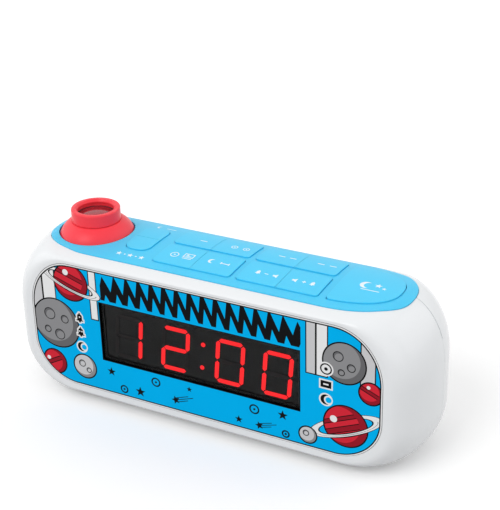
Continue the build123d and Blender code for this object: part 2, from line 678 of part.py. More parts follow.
with BuildPart() as display_module:
    slab(-DISPLAY_HALF, DISPLAY_HALF, DISPLAY_FRONT, DISPLAY_FRONT + DISPLAY_THICK,
         WINDOW_MIDDLE - DISPLAY_RISE, WINDOW_MIDDLE + DISPLAY_RISE)
    # two rows of pins down to the board
    for side in (-1, 1):
        row_z = WINDOW_MIDDLE + side * PIN_ROW_RISE
        slab(-PIN_ROW / 2, PIN_ROW / 2, DISPLAY_FRONT + DISPLAY_THICK, BOARD_FRONT,
             row_z - PIN_SPACE / 2, row_z + PIN_SPACE / 2)
finish(display_module, "display_module")

HALF_ACROSS = (DIGIT_WIDTH - STROKE) / 2
HALF_UP = (DIGIT_HEIGHT - STROKE) / 2
ALL_STROKES = "".join(STROKES)


def leaning(place, across, up):
    """Point of a digit by its distances from the digit's middle."""
    return (place + across + DIGIT_LEAN * up, DIGIT_MIDDLE + up)


def stroke_faces(place, letters):
    """Six-sided strokes of one digit, in the open sketch."""
    for letter in letters:
        across, up = STROKES[letter]
        tip = ((HALF_UP if across else 2 * HALF_ACROSS) - STROKE_GAP) / 2
        edge = tip - STROKE / 2
        half = STROKE / 2
        corners = [(-tip, 0), (-edge, -half), (edge, -half), (tip, 0), (edge, half), (-edge, half)]
        if across:
            corners = [(-side, along) for along, side in corners]
        points = [leaning(place, across * HALF_ACROSS + u, up * HALF_UP + v) for u, v in corners]
        Polygon(*points, align=None)


with BuildPart() as digits_lit:
    with BuildSketch(upright(DISPLAY_FRONT)):
        for place, letters in zip(DIGIT_PLACES, SHOWN):
            stroke_faces(place, letters)
        for side in (-1, 1):
            with Locations(leaning(COLON_PLACE, 0, side * COLON_SPREAD)):
                Circle(COLON_RADIUS)
    extrude(amount=DIGIT_RELIEF)
finish(digits_lit, "digits_lit")

with BuildPart() as digits_dark:
    with BuildSketch(upright(DISPLAY_FRONT)):
        for place, letters in zip(DIGIT_PLACES, SHOWN):
            stroke_faces(place, [letter for letter in ALL_STROKES if letter not in letters])
    extrude(amount=DIGIT_RELIEF)
finish(digits_dark, "digits_dark")

# ================================================================ main board
with BuildPart() as main_board:
    slab(-MAIN_BOARD_LENGTH / 2, MAIN_BOARD_LENGTH / 2, BOARD_FRONT, BOARD_BACK,
         MAIN_BOARD_BOTTOM, MAIN_BOARD_TOP)
    for x, z in BOARD_BOSSES:
        bar(x, z, BOARD_FRONT - OVER, BOARD_BACK + OVER, BOARD_SCREW_RADIUS + SCREW_CLEAR, Mode.SUBTRACT)
finish(main_board, "main_board")

with BuildPart() as main_components:
    for x, z, size, height in CHIPS:
        slab(x - size / 2, x + size / 2, BOARD_BACK, BOARD_BACK + height, z - size / 2, z + size / 2)
    for x, z in CAPACITORS:
        bar(x, z, BOARD_BACK, BOARD_BACK + CAPACITOR_HEIGHT, CAPACITOR_RADIUS)
finish(main_components, "main_components")

with BuildPart() as indicator_leds:
    for x, z in INDICATORS:
        bar(x, z, PANEL_THICK + INDICATOR_SINK, BOARD_FRONT, INDICATOR_RADIUS)
finish(indicator_leds, "indicator_leds")


with BuildPart() as main_board_screws:
    for x, z in BOARD_BOSSES:
        bar(x, z, BOARD_BACK, BOARD_BACK + BOARD_SCREW_HEAD_HEIGHT, BOARD_SCREW_HEAD)
        bar(x, z, BOARD_BACK - BOARD_SCREW_LENGTH, BOARD_BACK, BOARD_SCREW_RADIUS)
finish(main_board_screws, "main_board_screws")

# ================================================================ key board
with BuildPart() as key_board:
    slab(KEY_BOARD_LEFT, KEY_BOARD_RIGHT, KEY_BOARD_FRONT, KEY_BOARD_BACK,
         KEY_BOARD_BOTTOM, KEY_BOARD_TOP)
    for x in SHELF_PLACES:
        for depth in (FRONT_SCREW_DEPTH, BACK_SCREW_DEPTH):
            column(x, depth, KEY_BOARD_BOTTOM - OVER, KEY_BOARD_TOP + OVER,
                   BOARD_SCREW_RADIUS + SCREW_CLEAR, Mode.SUBTRACT)
finish(key_board, "key_board")

with BuildPart() as key_board_screws:
    for x in SHELF_PLACES:
        for depth in (FRONT_SCREW_DEPTH, BACK_SCREW_DEPTH):
            column(x, depth, KEY_BOARD_TOP, KEY_BOARD_TOP + BOARD_SCREW_HEAD_HEIGHT, BOARD_SCREW_HEAD)
            column(x, depth, BOARD_SCREW_END, KEY_BOARD_TOP, BOARD_SCREW_RADIUS)
finish(key_board_screws, "key_board_screws")

with BuildPart() as tact_switches:
    for x, depth in key_middles.values():
        half = SWITCH_SIZE / 2
        slab(x - half, x + half, depth - half, depth + half, KEY_BOARD_TOP,
             KEY_BOARD_TOP + SWITCH_BODY)
        column(x, depth, KEY_BOARD_TOP + SWITCH_BODY, KEY_BOARD_TOP + SWITCH_TOP, STEM_RADIUS)
finish(tact_switches, "tact_switches")

with BuildPart() as key_ribbon:
    slab(-RIBBON_HALF, RIBBON_HALF, BOARD_BACK, BOARD_BACK + RIBBON_THICK,
         RIBBON_BOTTOM, KEY_BOARD_BOTTOM)
finish(key_ribbon, "key_ribbon")

# ================================================================ top deck
CLIP_DEPTH = DECK_HALF_DEPTH - LEDGE_WIDTH - DECK_GAP
CLIP_ROOT = WIDEST[2] - CLIP_ROOT_DROP

with BuildPart() as deck_clips:
    for x in CLIP_PLACES:
        for side, clip_end in zip((-1, 1), CLIP_ENDS):
            outer = DECK_DEPTH + side * CLIP_DEPTH
            inner = outer - side * CLIP_THICK
            barb = outer + side * CLIP_BARB
            slab(x - CLIP_WIDTH / 2, x + CLIP_WIDTH / 2, min(outer, inner), max(outer, inner),
                 clip_end, CLIP_ROOT)
            slab(x - CLIP_WIDTH / 2, x + CLIP_WIDTH / 2, min(barb, inner), max(barb, inner),
                 clip_end, clip_end + CLIP_BARB)

with BuildPart() as top_deck:
    add(prism(0, DECK_REACH, HIGH))
    add(deck_surface, mode=Mode.INTERSECT)
    add(deck_underside, mode=Mode.SUBTRACT)
    # well that the projector stands in
    column(LAMP_X, LAMP_DEPTH, WELL_FLOOR - WELL_THICK, WELL_FLOOR + DECK_PROUD,
           WELL_RADIUS + WELL_WALL)
    column(LAMP_X, LAMP_DEPTH, WELL_FLOOR, HIGH, WELL_RADIUS, Mode.SUBTRACT)
    column(LAMP_X, LAMP_DEPTH, DECK_REACH, HIGH, TUBE_RADIUS - TUBE_WALL, Mode.SUBTRACT)
    for hole in key_holes.values():
        with BuildSketch(Plane.XY.offset(DECK_REACH)):
            add(hole)
        extrude(amount=HIGH - DECK_REACH, mode=Mode.SUBTRACT)
    add(deck_clips.part)
finish(top_deck, "top_deck")

# ================================================================ keys
STEM_BOTTOM = KEY_BOARD_TOP + SWITCH_TOP + STEM_GAP + KEY_TRAVEL
FLANGE_BOTTOM = FLANGE_TOP - FLANGE_THICK

for name, face in key_tops.items():
    with BuildPart() as key_cap:
        with BuildSketch(Plane.XY.offset(FLANGE_BOTTOM)):
            add(face)
        extrude(amount=HIGH - FLANGE_BOTTOM)
        add(key_surface, mode=Mode.INTERSECT)
        with BuildSketch(Plane.XY.offset(FLANGE_BOTTOM)):
            add(key_flanges[name])
        extrude(amount=FLANGE_THICK)
        column(*key_middles[name], STEM_BOTTOM, FLANGE_BOTTOM, STEM_RADIUS)
    finish(key_cap, name)

# ================================================================ projector
LAMP_PROFILE = Plane(origin=(LAMP_X, LAMP_Y, 0), x_dir=(1, 0, 0), z_dir=(0, -1, 0))
LAMP_AXIS = Axis((LAMP_X, LAMP_Y, 0), (0, 0, 1))
SLEEVE_BORE = SLEEVE_RADIUS + RUNNING_FIT
RING_BOTTOM = CONE_TOP + RING_GAP
BARREL_BORE = BARREL_RADIUS + BARREL_FIT
LIP_HEIGHT = RING_TOP - RING_FUNNEL - RING_LIP
BARREL_TOP = LIP_HEIGHT - BARREL_CLEAR - FOCUS_TRAVEL
TUBE_TOP = WELL_FLOOR - WELL_THICK
TUBE_BORE = TUBE_RADIUS - TUBE_WALL


def dome_lens(radius, bottom, thick, dome):
    """Lens with a flat underside and a domed top, in the open part."""
    sphere = (radius ** 2 + dome ** 2) / (2 * dome)
    column(LAMP_X, LAMP_DEPTH, bottom, bottom + thick + dome, radius)
    with Locations((LAMP_X, LAMP_Y, bottom + thick + dome - sphere)):
        Sphere(sphere, mode=Mode.INTERSECT)


with BuildPart() as projector_base:
    with BuildSketch(LAMP_PROFILE):
        with BuildLine():
            side = SagittaArc((CONE_FOOT_RADIUS, WELL_FLOOR + CONE_RIM), (CONE_TOP_RADIUS, CONE_TOP),
                              -CONE_BULGE)
            Polyline(side @ 1, (SLEEVE_BORE, CONE_TOP), (SLEEVE_BORE, WELL_FLOOR),
                     (CONE_FOOT_RADIUS, WELL_FLOOR), side @ 0)
        make_face()
        # hollow under the cone
        Polygon((SLEEVE_BORE + CONE_WALL, WELL_FLOOR), (CONE_FOOT_RADIUS - CONE_WALL, WELL_FLOOR),
                (SLEEVE_BORE + CONE_WALL, CONE_TOP - CONE_WALL), align=None, mode=Mode.SUBTRACT)
    revolve(axis=LAMP_AXIS)
finish(projector_base, "projector_base")

with BuildPart() as focus_ring:
    with BuildSketch(LAMP_PROFILE):
        Polygon((BARREL_BORE, SLEEVE_BOTTOM), (SLEEVE_RADIUS, SLEEVE_BOTTOM),
                (SLEEVE_RADIUS, RING_BOTTOM), (RING_RADIUS, RING_BOTTOM), (RING_RADIUS, RING_TOP),
                (RING_MOUTH, RING_TOP), (RING_THROAT, RING_TOP - RING_FUNNEL),
                (RING_THROAT, LIP_HEIGHT), (BARREL_BORE, LIP_HEIGHT), align=None)
    revolve(axis=LAMP_AXIS)
    rim_edges = focus_ring.edges().filter_by(GeomType.CIRCLE).group_by(Axis.Z)[-1]
    fillet(rim_edges.sort_by(SortBy.RADIUS)[-1], RING_EDGE)
finish(focus_ring, "focus_ring")

with BuildPart() as lens_barrel:
    column(LAMP_X, LAMP_DEPTH, BARREL_BOTTOM, BARREL_TOP, BARREL_RADIUS)
    column(LAMP_X, LAMP_DEPTH, BARREL_TOP - LENS_THICK, BARREL_TOP, BARREL_RADIUS - BARREL_WALL,
           Mode.SUBTRACT)
    column(LAMP_X, LAMP_DEPTH, BARREL_BOTTOM, BARREL_TOP, BARREL_RADIUS - BARREL_WALL - LENS_SHELF,
           Mode.SUBTRACT)
finish(lens_barrel, "lens_barrel")

with BuildPart() as projection_lens:
    dome_lens(BARREL_RADIUS - BARREL_WALL, BARREL_TOP - LENS_THICK, LENS_THICK, LENS_DOME)
finish(projection_lens, "projection_lens")

with BuildPart() as projector_tube:
    column(LAMP_X, LAMP_DEPTH, TUBE_BOTTOM, TUBE_TOP, TUBE_RADIUS)
    column(LAMP_X, LAMP_DEPTH, TUBE_TOP - TUBE_WALL, TUBE_TOP, TUBE_FLANGE)
    column(LAMP_X, LAMP_DEPTH, TUBE_BOTTOM, TUBE_TOP, TUBE_BORE, Mode.SUBTRACT)
    for height in (SLIDE_HEIGHT, CONDENSER_HEIGHT):
        with BuildSketch(Plane.XY.offset(height)):
            with Locations((LAMP_X, LAMP_Y)):
                Circle(TUBE_RADIUS)
                Circle(TUBE_BORE - TUBE_SHELF, mode=Mode.SUBTRACT)
        extrude(amount=-TUBE_SHELF)
finish(projector_tube, "projector_tube")

with BuildPart() as pattern_slide:
    column(LAMP_X, LAMP_DEPTH, SLIDE_HEIGHT, SLIDE_HEIGHT + SLIDE_THICK, TUBE_BORE)
    # clear stars, one in the middle and a ring of them
    star = []
    for point in range(10):
        reach = STAR_RADIUS if point % 2 else STAR_WAIST
        star.append((reach * cos(point * pi / 5), reach * sin(point * pi / 5)))
    with BuildSketch(Plane.XY.offset(SLIDE_HEIGHT)):
        with Locations((LAMP_X, LAMP_Y)):
            Polygon(*star)
            with PolarLocations(STAR_RING, STAR_COUNT):
                Polygon(*star)
    extrude(amount=SLIDE_THICK, mode=Mode.SUBTRACT)
finish(pattern_slide, "pattern_slide")

with BuildPart() as condenser_lens:
    dome_lens(TUBE_BORE, CONDENSER_HEIGHT, CONDENSER_THICK, CONDENSER_DOME)
finish(condenser_lens, "condenser_lens")

with BuildPart() as lamp_board:
    with Locations((LAMP_X, LAMP_Y, TUBE_BOTTOM - BOARD_THICK / 2)):
        Box(LAMP_BOARD, LAMP_BOARD, BOARD_THICK)
finish(lamp_board, "lamp_board")

with BuildPart() as projector_led:
    column(LAMP_X, LAMP_DEPTH, TUBE_BOTTOM, TUBE_BOTTOM + LED_HEIGHT, LED_RADIUS)
    with Locations((LAMP_X, LAMP_Y, TUBE_BOTTOM + LED_HEIGHT)):
        Sphere(LED_RADIUS)
finish(projector_led, "projector_led")

with BuildPart() as lamp_lead:
    lead_left = LAMP_LEAD_X - LEAD_WIDTH / 2
    lead_right = LAMP_LEAD_X + LEAD_WIDTH / 2
    slab(lead_left, lead_right, BOARD_BACK, LAMP_LEAD_DEPTH, LAMP_LEAD_Z - LEAD_THICK, LAMP_LEAD_Z)
    slab(lead_left, lead_right, LAMP_LEAD_DEPTH - LEAD_THICK, LAMP_LEAD_DEPTH,
         LAMP_LEAD_Z - LEAD_THICK, TUBE_BOTTOM - BOARD_THICK)
finish(lamp_lead, "lamp_lead")

# ================================================================ speaker
SPEAKER_PROFILE = Plane(origin=(SPEAKER_X, y_at(INSIDE_BACK), SPEAKER_Z))
SPEAKER_AXIS = Axis((SPEAKER_X, 0, SPEAKER_Z), (0, 1, 0))

with BuildPart() as speaker_frame:
    with BuildSketch(SPEAKER_PROFILE):
        Polygon((SPEAKER_RADIUS, 0), (SPEAKER_RADIUS, -SPEAKER_RIM),
                (PAPER_EDGE + SPEAKER_METAL, -SPEAKER_RIM), (BASKET_RADIUS, -BASKET_DEPTH),
                (0, -BASKET_DEPTH), (0, SPEAKER_METAL - BASKET_DEPTH),
                (BASKET_RADIUS - SPEAKER_METAL, SPEAKER_METAL - BASKET_DEPTH),
                (PAPER_EDGE, -SPEAKER_RIM), (PAPER_EDGE, 0), align=None)
    revolve(axis=SPEAKER_AXIS)
finish(speaker_frame, "speaker_frame")

with BuildPart() as speaker_cone:
    with BuildSketch(SPEAKER_PROFILE):
        Polygon((0, SPEAKER_METAL - BASKET_DEPTH), (VOICE_COIL, SPEAKER_METAL - BASKET_DEPTH),
                (VOICE_COIL, -PAPER_APEX), (PAPER_EDGE, -SPEAKER_RIM),
                (PAPER_EDGE, PAPER_THICK - SPEAKER_RIM), (VOICE_COIL, PAPER_THICK - PAPER_APEX),
                (0, PAPER_THICK + DUST_CAP_RISE - PAPER_APEX), align=None)
    revolve(axis=SPEAKER_AXIS)
finish(speaker_cone, "speaker_cone")

with BuildPart() as speaker_magnet:
    bar(SPEAKER_X, SPEAKER_Z, INSIDE_BACK - BASKET_DEPTH - MAGNET_THICK, INSIDE_BACK - BASKET_DEPTH,
        MAGNET_RADIUS)
finish(speaker_magnet, "speaker_magnet")

with BuildPart() as speaker_lead:
    slab(SPEAKER_X - LEAD_WIDTH / 2, SPEAKER_X + LEAD_WIDTH / 2, BOARD_BACK,
         INSIDE_BACK - BASKET_DEPTH - MAGNET_THICK, SPEAKER_Z - LEAD_THICK / 2, SPEAKER_Z + LEAD_THICK / 2)
finish(speaker_lead, "speaker_lead")

# ================================================================ radio aerial
with BuildPart() as ferrite_rod:
    with Locations(Location((ROD_X, y_at(ROD_DEPTH), ROD_Z), (0, 90, 0))):
        Cylinder(ROD_RADIUS, ROD_LENGTH)
finish(ferrite_rod, "ferrite_rod")

with BuildPart() as aerial_coil:
    with Locations(Location((COIL_X, y_at(ROD_DEPTH), ROD_Z), (0, 90, 0))):
        Cylinder(ROD_RADIUS + COIL_THICK, COIL_LENGTH)
        Cylinder(ROD_RADIUS, COIL_LENGTH, mode=Mode.SUBTRACT)
finish(aerial_coil, "aerial_coil")

# ================================================================ sockets
COLLAR_END = CASE_DEPTH - COLLAR_SINK


def jack_body(x, collar, bore, bore_length):
    """Moulded socket block with a collar through the back wall and a blind bore."""
    half = JACK_SIZE / 2
    slab(x - half, x + half, INSIDE_BACK - JACK_LENGTH, INSIDE_BACK, JACK_Z - half, JACK_Z + half)
    bar(x, JACK_Z, INSIDE_BACK - OVER, COLLAR_END, collar)
    bar(x, JACK_Z, COLLAR_END - bore_length, COLLAR_END, bore, Mode.SUBTRACT)


with BuildPart() as dc_jack:
    jack_body(DC_JACK_X, DC_COLLAR, DC_BORE, DC_BORE_LENGTH)
    bar(DC_JACK_X, JACK_Z, COLLAR_END - DC_BORE_LENGTH - OVER, COLLAR_END - DC_PIN_SINK, DC_PIN)
finish(dc_jack, "dc_jack")

with BuildPart() as aux_jack:
    jack_body(AUX_JACK_X, AUX_COLLAR, AUX_BORE, AUX_BORE_LENGTH)
finish(aux_jack, "aux_jack")

with BuildPart() as jack_board:
    slab(JACK_BOARD_LEFT, JACK_BOARD_RIGHT, JACK_BOARD_FRONT, INSIDE_BACK,
         JACK_BOARD_TOP - BOARD_THICK, JACK_BOARD_TOP)
finish(jack_board, "jack_board")

# ================================================================ battery door
with BuildPart() as battery_door:
    slab(-DOOR_HALF, DOOR_HALF, CASE_DEPTH - DOOR_THICK, CASE_DEPTH, PIVOT_Z, DOOR_TOP)
    # rounded lower edge and its pins, on the hinge line
    with Locations(Location((0, y_at(PIVOT_DEPTH), PIVOT_Z), (0, 90, 0))):
        Cylinder(DOOR_THICK / 2, DOOR_LENGTH)
        Cylinder(DOOR_PIN_RADIUS, 2 * PIN_END)
finish(battery_door, "battery_door")

CELL_CENTRE_DEPTH = CELL_FLOOR + CELL_DEPTH / 2


def contact_plate(end, rise):
    """Sheet contact on an end wall of the battery compartment, end is -1 or 1."""
    wall = end * CELL_HALF
    face = end * (CELL_HALF - CONTACT_THICK)
    slab(min(wall, face), max(wall, face), CELL_CENTRE_DEPTH - CONTACT / 2,
         CELL_CENTRE_DEPTH + CONTACT / 2, rise - CONTACT / 2, rise + CONTACT / 2)


with BuildPart() as battery_springs:
    for end in (-1, 1):
        rise = DOOR_MIDDLE + end * CELL_PITCH / 2
        contact_plate(end, rise)
        for turn in range(SPRING_TURNS):
            x = end * (CELL_HALF - CONTACT_THICK - turn * SPRING_PITCH)
            with Locations(Location((x, y_at(CELL_CENTRE_DEPTH), rise), (0, 90, 0))):
                Torus(SPRING_RADIUS, SPRING_WIRE)
finish(battery_springs, "battery_springs")

with BuildPart() as battery_plates:
    for end in (-1, 1):
        contact_plate(end, DOOR_MIDDLE - end * CELL_PITCH / 2)
finish(battery_plates, "battery_plates")

# ================================================================ screws and feet
with BuildPart() as case_screws:
    for x, z in CASE_SCREWS:
        bar(x, z, SCREW_HEAD_DEPTH, SCREW_HEAD_DEPTH + SCREW_HEAD_HEIGHT, SCREW_HEAD)
        bar(x, z, SCREW_TIP_DEPTH, SCREW_HEAD_DEPTH, SCREW_RADIUS)
finish(case_screws, "case_screws")

with BuildPart() as feet:
    for foot_depth in FOOT_DEPTHS:
        for foot_x in (-FOOT_X, FOOT_X):
            column(foot_x, foot_depth, 0, FOOT_HEIGHT, FOOT_RADIUS)
    chamfer(feet.edges().group_by(Axis.Z)[0], FOOT_EDGE)
finish(feet, "feet")
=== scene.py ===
# %% [markdown]
# A projection alarm clock, dressed in its finishes. The solids come in already
# made: two white case halves, a blue deck with eleven keys, a red projector and
# a printed front round a smoked window. They could be modelled again here, but
# their shapes are right, so this lesson is about what covers them: plastics,
# prints, a display that glows, and light.

# %% Load the clock
import bpy
from math import cos, pi, sin
from mathutils import Matrix, Vector

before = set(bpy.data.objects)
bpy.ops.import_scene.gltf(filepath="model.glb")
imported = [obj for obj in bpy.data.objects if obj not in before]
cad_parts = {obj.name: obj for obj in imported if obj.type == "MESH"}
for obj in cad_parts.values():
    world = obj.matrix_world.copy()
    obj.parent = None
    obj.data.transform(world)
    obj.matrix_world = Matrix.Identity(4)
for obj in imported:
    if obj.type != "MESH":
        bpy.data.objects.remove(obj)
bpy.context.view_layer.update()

TO_MILLIMETRES = 1000       # from the metres of the scene


bpy.ops.object.select_all(action="DESELECT")

# %% [markdown]
# The camera looks down on the clock from the front right. It could be aimed
# with a constraint, but a camera that has its place and its three turns worked
# out as one matrix can be checked number by number. The roll of about one and a
# half degrees is small, and still shows in how level the long edges look.

# %% Camera
AZIMUTH = 0.49210           # radians round the clock, from straight in front
PITCH = 0.45190             # looking down
ROLL = -0.0248
CAMERA_PLACE = Vector((0.2665264, -0.4727056, 0.3470895))
LONG_SIDE = 510             # pixels along the longer side of the picture
FOCAL_PIXELS = 1248.1       # focal length, in the same pixels
SENSOR = 36                 # millimetres
NEAREST = 0.01              # what is closer than this, in metres, isn't drawn


def camera_matrix():
    """Place and turn of the camera."""
    back = Vector((sin(AZIMUTH) * cos(PITCH), -cos(AZIMUTH) * cos(PITCH), sin(PITCH)))
    level = Vector((0, 0, 1)).cross(back).normalized()
    upright = back.cross(level)
    right = cos(ROLL) * level + sin(ROLL) * upright
    top = cos(ROLL) * upright - sin(ROLL) * level
    turn = Matrix((right, top, back)).transposed().to_4x4()
    return Matrix.Translation(CAMERA_PLACE) @ turn


bpy.ops.object.camera_add()
camera = bpy.context.object
camera.name = "camera"
camera.matrix_world = camera_matrix()
camera.data.sensor_width = SENSOR
camera.data.lens = FOCAL_PIXELS / LONG_SIDE * SENSOR
camera.data.clip_start = NEAREST
bpy.context.scene.camera = camera
print("lens in mm:", round(camera.data.lens, 1))

# %% [markdown]
# A pattern in a shader is arithmetic on coordinates. Placing and wiring a Math
# node for every plus sign is slow work, so two small classes let Python
# expressions make the nodes. A Signal is one output socket with the operators
# that the patterns need, and Nodes makes any node from its type, its settings
# and what goes into its sockets.

# %% Expressions that make nodes
class Signal:
    """One output socket, ready for plain arithmetic."""

    def __init__(self, nodes, socket):
        self.nodes = nodes
        self.socket = socket

    def maths(self, operation, *others):
        """The result of a Math node with this signal first."""
        return self.nodes.maths(operation, self, *others)

    def __add__(self, other):
        return self.maths("ADD", other)

    def __sub__(self, other):
        return self.maths("SUBTRACT", other)

    def __mul__(self, other):
        return self.maths("MULTIPLY", other)

    def __rsub__(self, other):
        return self.nodes.maths("SUBTRACT", other, self)

    def __abs__(self):
        return self.maths("ABSOLUTE")

    def __neg__(self):
        return self * -1

    __radd__ = __add__
    __rmul__ = __mul__


class Nodes:
    """Makes and wires the nodes of one tree."""

    def __init__(self, tree):
        self.tree = tree
        tree.nodes.clear()

    def put(self, socket, value):
        """Sets an input socket, or links a signal to it."""
        if isinstance(value, Signal):
            self.tree.links.new(value.socket, socket)
        else:
            socket.default_value = value

    def node(self, kind, settings=None, sockets=None, out=0):
        """A new node: its settings first, then its sockets. Gives one output."""
        node = self.tree.nodes.new(kind)
        for name, value in (settings or {}).items():
            setattr(node, name, value)
        for key, value in (sockets or {}).items():
            self.put(node.inputs[key], value)
        return Signal(self, node.outputs[out]) if len(node.outputs) else node

    def maths(self, operation, *values):
        """A Math node on signals and numbers."""
        return self.node("ShaderNodeMath", {"operation": operation}, dict(enumerate(values)))

    def least(self, first, *others):
        """The smallest of several distances: shapes joined."""
        for other in others:
            first = self.maths("MINIMUM", first, other)
        return first

    def most(self, first, *others):
        """The largest of several distances: what shapes have in common."""
        for other in others:
            first = self.maths("MAXIMUM", first, other)
        return first

    def mix(self, under, over, share):
        """One colour over another by a share from 0 to 1."""
        # a Mix node has sockets for each type of data: colours go in at 6 and 7, out at 2
        return self.node("ShaderNodeMix", {"data_type": "RGBA"}, {0: share, 6: under, 7: over}, 2)

    def vector(self, operation, *values, out=0):
        """A Vector Math node. Its output 0 is a vector, and 1 a length or distance."""
        return self.node("ShaderNodeVectorMath", {"operation": operation},
                         dict(enumerate(values)), out)

    def noise(self, place, scale, detail=2.0):
        """Soft noise from 0 to 1. The scale is in lumps for each unit of place."""
        return self.node("ShaderNodeTexNoise", {}, {"Vector": place, "Scale": scale,
                                                   "Detail": detail})


print("node helpers ready")

# %% [markdown]
# The shell of the clock is glossy moulded plastic, and almost every other piece
# is moulded too. A single colour looks like a drawing, because real mouldings
# drift a little in tone and gloss and have a grain finer than a hair. One
# function gives all of that, and the pieces that need more build on what it
# returns. Bevel nodes round the sharp edges of the solids for the light only,
# which costs no geometry.

# %% A moulded finish
BEVEL_SAMPLES = 4


def grey(level):
    """A neutral colour."""
    return (level, level, level, 1.0)


def tint(colour, level):
    """A colour made darker or lighter by a factor."""
    return tuple(min(1.0, part * level) for part in colour[:3]) + (1.0,)


class Finish(Nodes):
    """The material of one slot, with its shader and the place on the clock."""

    def __init__(self, slot, **constants):
        material = bpy.data.materials[slot]
        material.use_nodes = True
        super().__init__(material.node_tree)
        self.material = material
        self.shader = self.tree.nodes.new("ShaderNodeBsdfPrincipled")
        output = self.tree.nodes.new("ShaderNodeOutputMaterial")
        self.tree.links.new(self.shader.outputs[0], output.inputs[0])
        for name, value in constants.items():
            self.feed(name.replace("_", " "), value)
        metres = self.node("ShaderNodeTexCoord", out="Object")
        self.place = self.node("ShaderNodeVectorMath", {"operation": "SCALE"},
                               {0: metres, "Scale": TO_MILLIMETRES})

    def feed(self, name, value):
        """Gives the shader's own socket a number, a colour or a signal."""
        self.put(self.shader.inputs[name], value)

    def parts(self, place=None):
        """The three coordinates of a place, in millimetres."""
        split = self.node("ShaderNodeSeparateXYZ", {}, {0: place or self.place})
        outputs = split.socket.node.outputs
        return [Signal(self, outputs[index]) for index in range(3)]

    def relief(self, height, depth, edge=0.0):
        """Bump from a height of 0 to 1, over edges rounded by a radius."""
        sockets = {"Height": height, "Distance": depth, "Strength": 1.0}
        if edge:
            sockets["Normal"] = self.node("ShaderNodeBevel", {"samples": BEVEL_SAMPLES},
                                          {"Radius": edge})
        self.feed("Normal", self.node("ShaderNodeBump", {}, sockets))


def moulded(slot, colour, roughness, drift=0.05, grain=0.000006, edge=0.0003, **constants):
    """Plastic: tone and gloss drift a little, and a fine grain breaks the shine.

    The grain's depth and the radius of the edges are in metres.
    """
    finish = Finish(slot, **constants)
    cloud = finish.noise(finish.place, 0.035, 3.0)
    speck = finish.noise(finish.place, 2.4, 2.0)
    finish.colour = finish.mix(tint(colour, 1 - drift), tint(colour, 1 + drift / 2), cloud)
    finish.feed("Base Color", finish.colour)
    finish.feed("Roughness", roughness + (cloud - 0.5) * 0.08)
    finish.relief(speck, grain, edge)
    return finish


print("moulded finish ready")

# %% [markdown]
# Prints need shapes: discs, bars, stars, bells. Pictures wrapped on the surface
# would do, but a drawn shape stays sharp at any size and needs no file. A shape
# here is a signed distance, below nought inside and above it outside, so an
# outline is the same shape grown a little, a ring is a disc's distance folded
# by abs, and two shapes join by taking the smaller distance.

# %% Stencils
class Stencil:
    """A flat place to draw on, u to the right and v up, in millimetres."""

    def __init__(self, nodes, place):
        self.nodes = nodes
        self.place = place
        self.u, self.v = nodes.parts(place)[:2]

    def at(self, u, v, turn=0.0):
        """The same place measured from another centre, turned in radians."""
        place = self.nodes.vector("SUBTRACT", self.place, (u, v, 0))
        if turn:
            place = self.nodes.node("ShaderNodeVectorRotate", {"rotation_type": "Z_AXIS"},
                                    {"Vector": place, "Angle": -turn})
        return Stencil(self.nodes, place)

    def disc(self, radius, u=0.0, v=0.0):
        """Distance to a round spot."""
        away = self.nodes.vector("DISTANCE", self.place, (u, v, 0), out=1)
        return away - radius

    def hoop(self, radius, width, u=0.0, v=0.0):
        """A round line."""
        return abs(self.disc(radius, u, v)) - width / 2

    def bar(self, wide, tall, u=0.0, v=0.0):
        """An upright oblong, by its full size."""
        return self.nodes.most(abs(self.u - u) - wide / 2, abs(self.v - v) - tall / 2)

    def star(self, outer, inner, points=5):
        """A star with one point up."""
        half = pi / points
        angle = self.nodes.maths("ARCTAN2", self.u, self.v)
        fold = self.nodes.maths("PINGPONG", angle, half)
        reach = self.disc(0)
        across, along = inner * sin(half), outer - inner * cos(half)
        length = (across ** 2 + along ** 2) ** 0.5
        beside = reach * self.nodes.maths("COSINE", fold) - outer
        over = reach * self.nodes.maths("SINE", fold)
        return beside * (across / length) + over * (along / length)

    def crescent(self, radius, bite=0.85, shift=0.5):
        """A moon, open to the right."""
        return self.nodes.most(self.disc(radius), -self.disc(radius * bite, radius * shift, 0))

    def wedge(self, size):
        """A triangle that points right. Its sides slope by three to four."""
        return self.nodes.most(abs(self.v) * 0.8 + self.u * 0.6 - size * 0.5, -size * 0.6 - self.u)

    def bell(self, size):
        """An alarm bell: dome, skirt, brim, clapper and knob."""
        return self.nodes.least(
            self.disc(0.48 * size, 0, 0.25 * size),
            self.bar(0.96 * size, 0.7 * size, 0, -0.1 * size),
            self.bar(1.36 * size, 0.2 * size, 0, -0.5 * size),
            self.disc(0.2 * size, 0, -0.68 * size),
            self.disc(0.14 * size, 0, 0.82 * size))


def inside(distance, soft=0.08):
    """Share of a point that a shape covers, with a soft edge in millimetres."""
    return distance.nodes.node("ShaderNodeClamp", {}, {0: 0.5 - distance * (1 / soft)})


def drawn_on(finish, right, up):
    """A stencil laid over two of the three coordinates of a finish."""
    return Stencil(finish, finish.node("ShaderNodeCombineXYZ", {}, {0: right, 1: up}))


print("stencils ready")

# %% [markdown]
# The case is white plastic with a high shine, both halves from one resin. White
# is the hardest colour to keep alive: a touch of blue and a slow drift in tone
# stop it from looking like paper, and the gloss is left a little uneven, as a
# polished mould leaves it. The colour stays below pure white so that the
# brightest side still has shape in it. The ledge that holds the window is part
# of the front half and would show as a pale frame, so it is painted black.

# %% White case
WINDOW_RIM = (109.5, 32.8)  # black surround of the window, in millimetres
WINDOW_MIDDLE = 45.0        # its height above the floor
SEAM = 0                    # depth at which the two halves of the case meet
BLACK_PAINT = grey(0.035)


